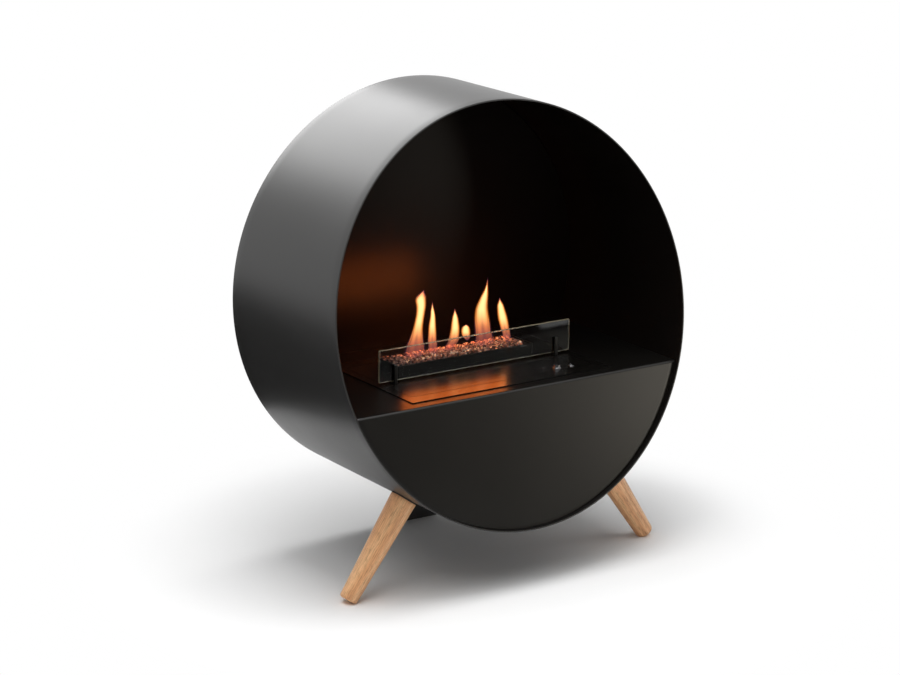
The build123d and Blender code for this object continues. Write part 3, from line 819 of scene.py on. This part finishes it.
def socket_screw(bm, from_right, from_front, head_r, head_h, socket, shank_r):
    """Domed head with a hexagon socket, its underside on the plate."""
    centre = Vector((PLATE_HI.x - from_right, PLATE_LO.y + from_front, PLATE_TOP))
    count, seat, corner, chamfer, widen = 48, 0.0001, 0.0003, 0.0001, 1.08
    socket_floor = head_h * 0.45
    dome = [(head_r * math.cos(t), HEAD_RIM + (head_h - HEAD_RIM) * math.sin(t))
            for t in (math.radians(v) for v in (18, 36, 54, 66))]
    profile = [(shank_r, -SHANK_LENGTH), (shank_r, seat), (head_r - corner, seat), (head_r, HEAD_RIM)]
    rings = [circle(r, h, count, centre) for r, h in profile + dome]
    for grow, h in ((widen, head_h), (1.0, head_h - chamfer), (1.0, socket_floor)):
        ring = []
        for a in angles(count):
            r = hex_radius(a, socket) * grow
            ring.append(centre + Vector((r * math.cos(a), r * math.sin(a), h)))
        rings.append(ring)
    capped_skin(bm, rings)


def plate_screws():
    """Button screw at the plate's right front corner and a small screw beside the filler."""
    bm = bmesh.new()
    for screw in (BUTTON_SCREW, SMALL_SCREW):
        socket_screw(bm, *screw)
    finish_piece("button_screws", bm, (polished,), "burner_unit", "polished_steel", smooth=30)


def upright_part(node):
    """Centre on the floor, radius, underside and top of a round upright solid."""
    lo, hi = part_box(node)
    return Vector(((lo.x + hi.x) / 2, (lo.y + hi.y) / 2, 0)), (hi.x - lo.x) / 2, lo.z, hi.z


def filler():
    """Collar on the plate, with its neck through the plate and a soft bore."""
    centre, r, bottom, top = upright_part("filler_collar")
    bore, neck, soft, bore_soft, count = 0.0053, 0.0065, 0.0007, 0.0005, 64
    profile = [(neck, bottom), (neck, PLATE_TOP), (r, PLATE_TOP), (r, top - soft)]
    profile += arc(r - soft, top - soft, soft, 0, 90, 4)[1:]
    profile += arc(bore + bore_soft, top - bore_soft, bore_soft, 90, 180, 3)
    profile += [(bore, bottom)]
    bm = bmesh.new()
    skin(bm, [circle(ring_r, h, count, centre) for ring_r, h in profile], loop=True)
    finish_piece("fill_collar", bm, (polished,), "burner_unit", "polished_steel", "filler_collar",
                 smooth=35)


def filler_lid():
    """Push-in plug: knurled head with a coin slot, and a lead-in at the bottom of its shank."""
    centre, r, bottom, top = upright_part("filler_cap")
    count, knurls, knurl_depth = 96, 24, 0.00018
    shank, lead_in, head = 0.005, 0.001, 0.003
    soft, corner, rim = 0.0009, 0.0003, 0.0014
    profile = [(shank - lead_in, bottom, 0.0), (shank, bottom + lead_in, 0.0), (shank, top - head, 0.0),
               (r, top - head, knurl_depth), (r, top - soft, knurl_depth),
               (r - corner, top - corner, 0.0), (r - soft, top, 0.0), (r - rim, top, 0.0)]
    rings = []
    for ring_r, h, depth in profile:
        ring = []
        for a in angles(count):
            at = ring_r - depth * (0.5 + 0.5 * math.cos(knurls * a))
            ring.append(centre + Vector((at * math.cos(a), at * math.sin(a), h)))
        rings.append(ring)
    bm = bmesh.new()
    capped_skin(bm, rings)
    lid = finish_piece("fill_cap", bm, (polished,), "filler_cap", "polished_steel", "filler_cap", smooth=30)
    cut_slot(lid, centre + Vector((0, 0, top)))


def cut_slot(lid, at):
    """Coin slot across the lid's top, cut into its mesh."""
    bm = bmesh.new()
    box_mesh(bm, at, Vector((SLOT_LENGTH, SLOT_WIDTH, 2 * SLOT_DEPTH)))
    cutter = link("coin_slot", mesh_from(bm, "coin_slot"))
    cut = lid.modifiers.new("slot", "BOOLEAN")
    cut.operation, cut.object, cut.solver = "DIFFERENCE", cutter, "EXACT"
    bpy.context.view_layer.update()
    cut_mesh = bpy.data.meshes.new_from_object(lid.evaluated_get(bpy.context.evaluated_depsgraph_get()))
    lid.modifiers.clear()
    lid.data = cut_mesh
    bpy.data.objects.remove(cutter)


def crisp_edges():
    """Narrow rounded edges on the flat sheet parts, so that they catch the light."""
    for name, width in (("deck_plate", 0.0005), ("insert_frame", 0.0003), ("insert_plate", 0.0004),
                        ("rear_foot", 0.0006)):
        round_edges(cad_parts[name], width, sharper_than=50.0)


def build_object():
    drum()
    rear_pan()
    lower_front()
    leg(-1, "left")
    leg(1, "right")
    heap_of_chips()
    flames()
    pane()
    post("left")
    post("right")
    tray()
    plate_screws()
    filler()
    filler_lid()
    crisp_edges()


# ---- studio -----------------------------------------------------------------
WHITE = (1, 1, 1, 1)
FILL = 0.245
# the floor passes into the plain background between these distances from its centre
FLOOR_R, FLOOR_NEAR, FLOOR_FAR = 14.0, 0.48, 0.68
# soft boxes: name, place, point that it faces, width, length, power in watts, colour if not white
SOFT_BOXES = (
    ("overhead", (0.0, 0.0, 3.2), (0, 0, 0.3), 2.0, 2.0, 67),
    ("top_left", (-1.5, 0.0, 3.2), (-0.9, 0, 0.3), 3.0, 3.0, 23),
    ("front_left", (-1.5, -1.5, 3.2), (-0.9, -0.9, 0.3), 2.0, 2.0, 29),
    ("front_top", (1.5, -1.5, 3.2), (0.9, -0.9, 0.3), 2.0, 2.0, 13),
)
# soft boxes that are only seen in gloss
GLOSS_BOXES = (
    ("rear_top", (0.1, 3.2, 2.35), (0, 0, 0.6), 2.6, 1.7, 71),
    ("front_right", (1.35, -1.25, 0.32), (0.2, -0.15, 0.25), 0.45, 0.5, 4.6, (1.0, 0.93, 0.80)),
)
# black screens on an arc round the set, seen only in gloss as painted dark reflections; angles in degrees
SCREEN_R, SCREEN_H = 1.9, 0.95
SCREEN_FROM, SCREEN_TO, SCREEN_STEPS = -165, -10, 48
# outlines of two black sheets and a glowing white card that lie on the floor, all seen only in gloss
PAINTED_SHEET_Z, PAINTED_HIGHLIGHT_Z = 0.004, 0.006
# painted shade: a black sheet where the drum's shadow lies on the floor behind it, seen only in reflections
REAR_PAINTED_SHADE = ((-0.62, 0.05), (-0.45, 0.26), (-0.36, 0.38), (-0.31, 0.52), (-0.14, 0.66), (0.0, 0.9),
              (0.2, 2.2), (-0.8, 3.0), (-2.6, 2.6), (-2.4, 0.1))
# painted dark reflection for the lower front sheet
FRONT_PAINTED_DARK_REFLECTION = ((0.28, -0.62), (0.95, -0.62), (2.3, -1.75), (1.5, -2.3), (0.3, -1.35))
# painted highlight: a small glowing card seen only in gloss
PAINTED_HIGHLIGHT_OUTLINE = ((0.955, -1.12), (1.04, -1.12), (1.09, -1.175), (0.99, -1.19))
# light of the fire; each sheet: name, place, height, which way it faces along Y, power
FIRE_WIDE, FIRE_RED, FIRE_ORANGE = 0.21, (1.0, 0.18, 0.015), (1.0, 0.42, 0.14)
FIRE_SHEETS = (
    ("fire_front", (-0.049, GLASS_LO.y - 0.007, 0.372), 0.036, -1, 0.08),
    ("fire_back", (0.0, FLAME_Y, 0.415), 0.075, 1, 0.49),
)
# small spots over the chips: which one, and its X
FIRE_SPOTS = (("left", -0.078), ("middle", -0.003), ("right", 0.056), ("far_right", 0.102))
SPOT_Z, SPOT_R, SPOT_POWER = 0.385, 0.01, 0.085


def shown_directly(tree):
    """1 for rays from the camera, off gloss and through glass, which see the plain background."""
    path = tree.nodes.new("ShaderNodeLightPath")
    direct = path.outputs["Is Camera Ray"]
    for kind in ("Is Glossy Ray", "Is Transmission Ray"):
        either = add(tree, "ShaderNodeMath", operation="MAXIMUM")
        wire(tree, (direct, either.inputs[0]), (path.outputs[kind], either.inputs[1]))
        direct = either.outputs[0]
    return direct


def world_light():
    """White background that lights the set only by the fill."""
    world = bpy.data.worlds.new("studio")
    bpy.context.scene.world = world
    world.use_nodes = True
    tree = world.node_tree
    tree.nodes.clear()
    out = tree.nodes.new("ShaderNodeOutputWorld")
    seen = add(tree, "ShaderNodeBackground", Color=WHITE, Strength=1.0)
    fill = add(tree, "ShaderNodeBackground", Color=WHITE, Strength=FILL)
    mix = tree.nodes.new("ShaderNodeMixShader")
    wire(tree, (shown_directly(tree), mix.inputs[0]), (fill.outputs[0], mix.inputs[1]),
         (seen.outputs[0], mix.inputs[2]), (mix.outputs[0], out.inputs[0]))


def floor_paper():
    """Matt paper near the object, plain white from FLOOR_FAR on where it is seen directly."""
    mat, tree, out = new_material("floor_paper")
    paper = add(tree, "ShaderNodeBsdfDiffuse", Color=(0.95, 0.95, 0.95, 1))
    glow = add(tree, "ShaderNodeEmission", Color=WHITE, Strength=1.0)
    coords = tree.nodes.new("ShaderNodeTexCoord")
    away = add(tree, "ShaderNodeVectorMath", operation="LENGTH")
    edge = add(tree, "ShaderNodeMapRange", interpolation_type="SMOOTHSTEP", From_Min=FLOOR_NEAR,
               From_Max=FLOOR_FAR)
    mix = tree.nodes.new("ShaderNodeMixShader")
    wire(tree, (coords.outputs["Object"], away.inputs[0]), (away.outputs["Value"], edge.inputs["Value"]),
         (product(tree, edge.outputs[0], shown_directly(tree)), mix.inputs[0]),
         (paper.outputs[0], mix.inputs[1]), (glow.outputs[0], mix.inputs[2]),
         (mix.outputs[0], out.inputs["Surface"]))
    return mat


def add_floor():
    """Pale paper that keeps the shadow and passes into the plain background further out."""
    bm = bmesh.new()
    bmesh.ops.create_circle(bm, cap_ends=True, segments=96, radius=FLOOR_R)
    link("floor", mesh_from(bm, "floor", floor_paper()))


def painted_dark_reflections():
    """Black screens and sheets out of the picture, which show only in gloss and glass and cast no shade.

    They paint dark reflections that keep the white room out of the dark paint; the rear sheet is painted
    shade of the floor behind the drum. One glowing white card, a painted highlight, shows among them.
    """
    bm = bmesh.new()
    turns = [math.radians(SCREEN_FROM + (SCREEN_TO - SCREEN_FROM) * k / SCREEN_STEPS)
             for k in range(SCREEN_STEPS + 1)]
    skin(bm, [[(SCREEN_R * math.cos(a), SCREEN_R * math.sin(a), z) for a in turns]
              for z in (0.0, SCREEN_H)], closed=False)
    for outline in (REAR_PAINTED_SHADE, FRONT_PAINTED_DARK_REFLECTION):
        bm.faces.new([bm.verts.new((*at, PAINTED_SHEET_Z)) for at in outline])
    card = bm.faces.new([bm.verts.new((*at, PAINTED_HIGHLIGHT_Z)) for at in PAINTED_HIGHLIGHT_OUTLINE])
    card.material_index = 1
    # black for the painted dark reflections and shade; the card glows as a painted highlight
    black = plain_surface("painted_dark_reflection", "ShaderNodeBsdfDiffuse", Color=(0.018, 0.018, 0.018, 1))
    white = plain_surface("painted_highlight_card", "ShaderNodeEmission", Color=WHITE, Strength=0.7)
    screens = link("screens", mesh_from(bm, "screens", black, white))
    screens.visible_camera = False
    screens.visible_shadow = False
    screens.visible_diffuse = False


def soft_box(name, at, toward, size_x, size_y, power, color=(1, 1, 1)):
    """Rectangular lamp that faces a point and is out of the picture."""
    data = bpy.data.lights.new(name, "AREA")
    data.shape = "RECTANGLE"
    data.size, data.size_y = size_x, size_y
    data.energy, data.color = power, color
    lamp = link(name, data)
    lamp.location = at
    lamp.rotation_mode = "QUATERNION"
    lamp.rotation_quaternion = (Vector(toward) - Vector(at)).to_track_quat("-Z", "Y")
    lamp.visible_camera = False
    return lamp


def fire_sheet(name, at, tall, face, power):
    """Warm lamp as wide as the flames that faces the shelf or the rear panel, unseen itself."""
    toward = Vector(at) + Vector((0, face, 0))
    lamp = soft_box(name, at, toward, FIRE_WIDE, tall, power, FIRE_RED)
    lamp.visible_transmission = False


def fire_spot(name, x):
    """Small warm lamp over the chips for the flame's own light on them."""
    data = bpy.data.lights.new(name, "POINT")
    data.energy, data.color, data.shadow_soft_size = SPOT_POWER, FIRE_ORANGE, SPOT_R
    lamp = link(name, data)
    lamp.location = (x, FLAME_Y, SPOT_Z)
    lamp.visible_camera = False
    lamp.visible_glossy = False
    lamp.visible_transmission = False


def light_studio():
    for box in SOFT_BOXES:
        soft_box(*box)
    for box in GLOSS_BOXES:
        soft_box(*box).visible_diffuse = False


def light_fire():
    for sheet in FIRE_SHEETS:
        fire_sheet(*sheet)
    for label, x in FIRE_SPOTS:
        fire_spot("fire_" + label, x)


bpy.context.scene.view_settings.view_transform = "Standard"
add_camera()
world_light()
add_floor()
dress_cad()
build_object()
painted_dark_reflections()
light_studio()
light_fire()
